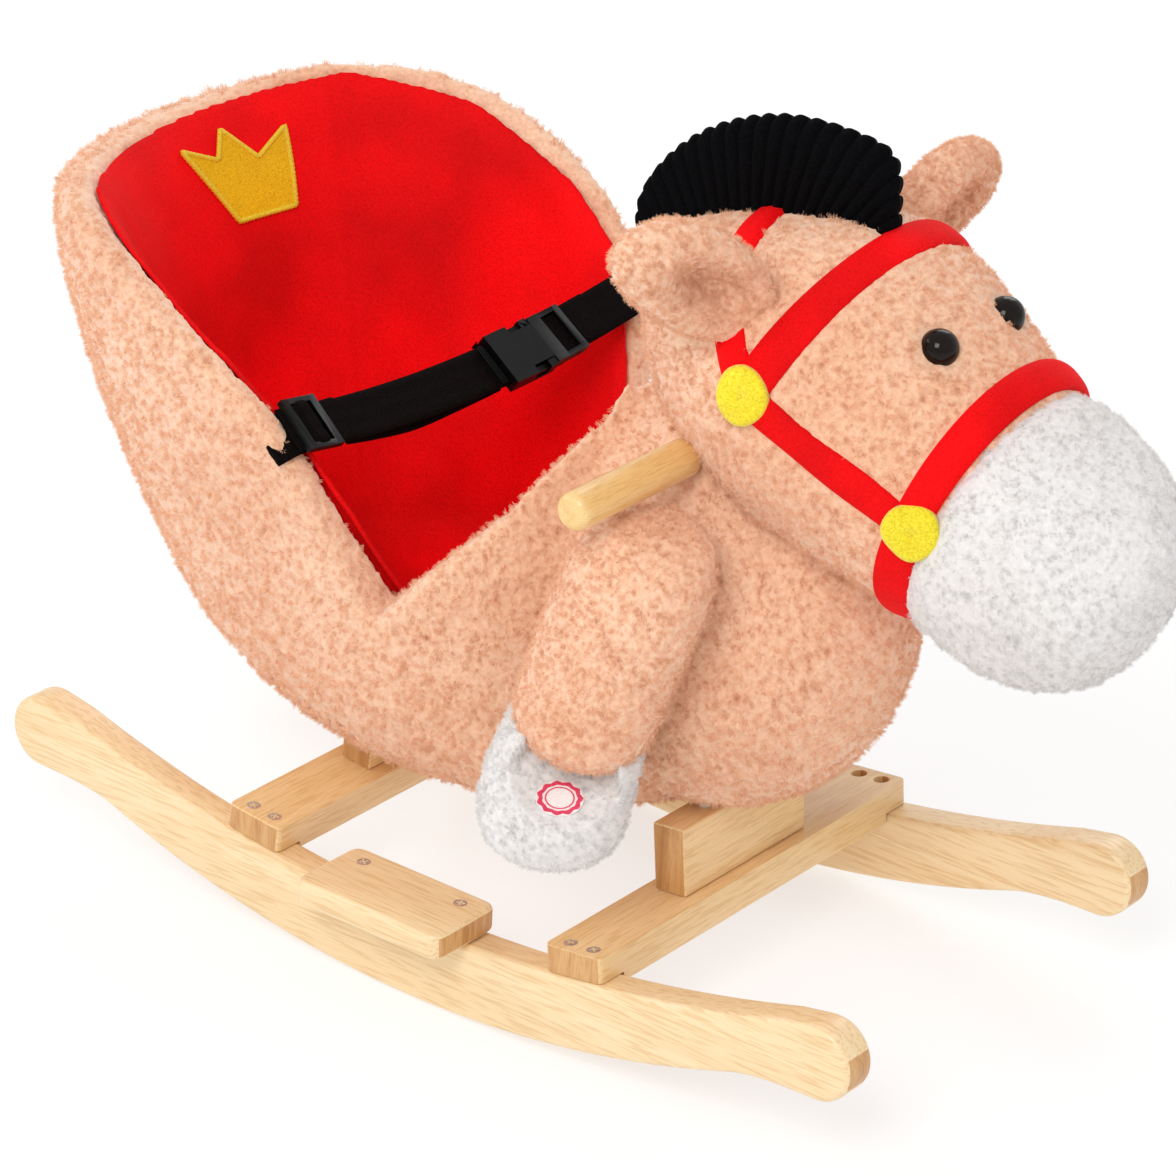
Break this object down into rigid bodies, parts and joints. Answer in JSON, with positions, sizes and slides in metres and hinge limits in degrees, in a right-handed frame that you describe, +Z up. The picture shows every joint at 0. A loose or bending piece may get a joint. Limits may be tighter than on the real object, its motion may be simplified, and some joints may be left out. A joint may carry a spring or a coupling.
{
  "type": "rocking horse",
  "caption": "Plush rocking horse with a padded bucket seat, lap belt, bridle, corduroy mane and wooden side handles, on bow rockers with crossbars and footrests.",
  "frame": {"origin": "under the middle of the horse, on the floor: the centre of the whole length and width, at the lowest facet of both rockers", "axes": "+X towards the nose, +Y to the horse's left, +Z up"},
  "size_m": [0.6412, 0.312, 0.458],
  "materials": {
    "pine": "clear lacquered, satin",
    "plywood": "raw sanded",
    "plush": "short curly pile",
    "white_plush": "soft short pile",
    "red_velboa": "brushed short pile",
    "yellow_felt": "felt",
    "gold_thread": "satin stitched thread",
    "corduroy": "ribbed pile",
    "webbing": "woven, matte",
    "buckle_plastic": "moulded, low sheen",
    "eye_plastic": "polished",
    "zinc": "zinc plated",
    "bolt_caps": "white cap over a steel bolt",
    "foam": "open-cell foam",
    "module_plastic": "moulded",
    "patch_cloth": "printed cloth"
  },
  "bodies": {
    "horse": {"rocker_right": "pine", "rocker_left": "pine", "front_crossbar": "pine", "rear_crossbar": "pine", "front_batten": "pine", "rear_batten": "pine", "footrest_right": "pine", "footrest_left": "pine", "front_bar_screw_right_1": "zinc", "front_bar_screw_right_2": "zinc", "front_bar_screw_left_1": "zinc", "front_bar_screw_left_2": "zinc", "front_seat_bolt_right": "bolt_caps", "front_seat_bolt_left": "bolt_caps", "rear_bar_screw_right_1": "zinc", "rear_bar_screw_right_2": "zinc", "rear_bar_screw_left_1": "zinc", "rear_bar_screw_left_2": "zinc", "rear_seat_bolt_right": "bolt_caps", "rear_seat_bolt_left": "bolt_caps", "footrest_screw_right_1": "zinc", "footrest_screw_right_2": "zinc", "footrest_screw_left_1": "zinc", "footrest_screw_left_2": "zinc", "seat_board": "plywood", "back_board": "plywood", "seat_foam": "foam", "neck_post": "plywood", "handle_rod": "plywood", "body_plush": "plush", "seat_lining": "red_velboa", "crown_patch": "gold_thread", "head_plush": "plush", "muzzle_plush": "white_plush", "mane": "corduroy", "handle_grip_right": "pine", "handle_grip_left": "pine", "ear_right": "plush", "ear_left": "plush", "eye_right": "eye_plastic", "eye_left": "eye_plastic", "headstall": "red_velboa", "brow_band": "red_velboa", "nose_band": "red_velboa", "upper_disc_right": "yellow_felt", "lower_disc_right": "yellow_felt", "upper_disc_left": "yellow_felt", "lower_disc_left": "yellow_felt", "belt_strap_right": "webbing", "belt_strap_left": "webbing", "buckle_socket": "buckle_plastic"},
    "leg_right": {"leg_right": "plush", "hoof_right": "white_plush", "sound_case": "module_plastic"},
    "leg_left": {"leg_left": "plush", "hoof_left": "white_plush"},
    "press_button": {"sound_button": "module_plastic", "press_patch": "patch_cloth"},
    "buckle_plug": {"buckle_plug": "buckle_plastic"},
    "belt_slider": {"belt_slider": "buckle_plastic"}
  },
  "joints": [
    {"name": "leg_right_swing", "type": "hinge", "parent": "horse", "child": "leg_right", "pos_m": [0.1064, -0.112, 0.262], "axis": [0, 1, 0], "range_deg": [-8, 8], "stiffness_Nm_per_rad": 1.5},
    {"name": "leg_left_swing", "type": "hinge", "parent": "horse", "child": "leg_left", "pos_m": [0.1064, 0.112, 0.262], "axis": [0, 1, 0], "range_deg": [-8, 8], "stiffness_Nm_per_rad": 1.5},
    {"name": "press_button_slide", "type": "slide", "parent": "leg_right", "child": "press_button", "axis": [-0.4316, 0.5119, -0.7428], "range_m": [0, 0.0025], "stiffness_N_per_m": 400},
    {"name": "buckle_plug_slide", "type": "slide", "parent": "horse", "child": "buckle_plug", "axis": [0.0519, 0.9939, 0.0975], "range_m": [0, 0.02], "deforming": ["belt_strap_left"]},
    {"name": "belt_slider_slide", "type": "slide", "parent": "horse", "child": "belt_slider", "axis": [0.0517, 0.9891, -0.1379], "range_m": [0, 0.012], "deforming": ["belt_strap_right"]}
  ]
}
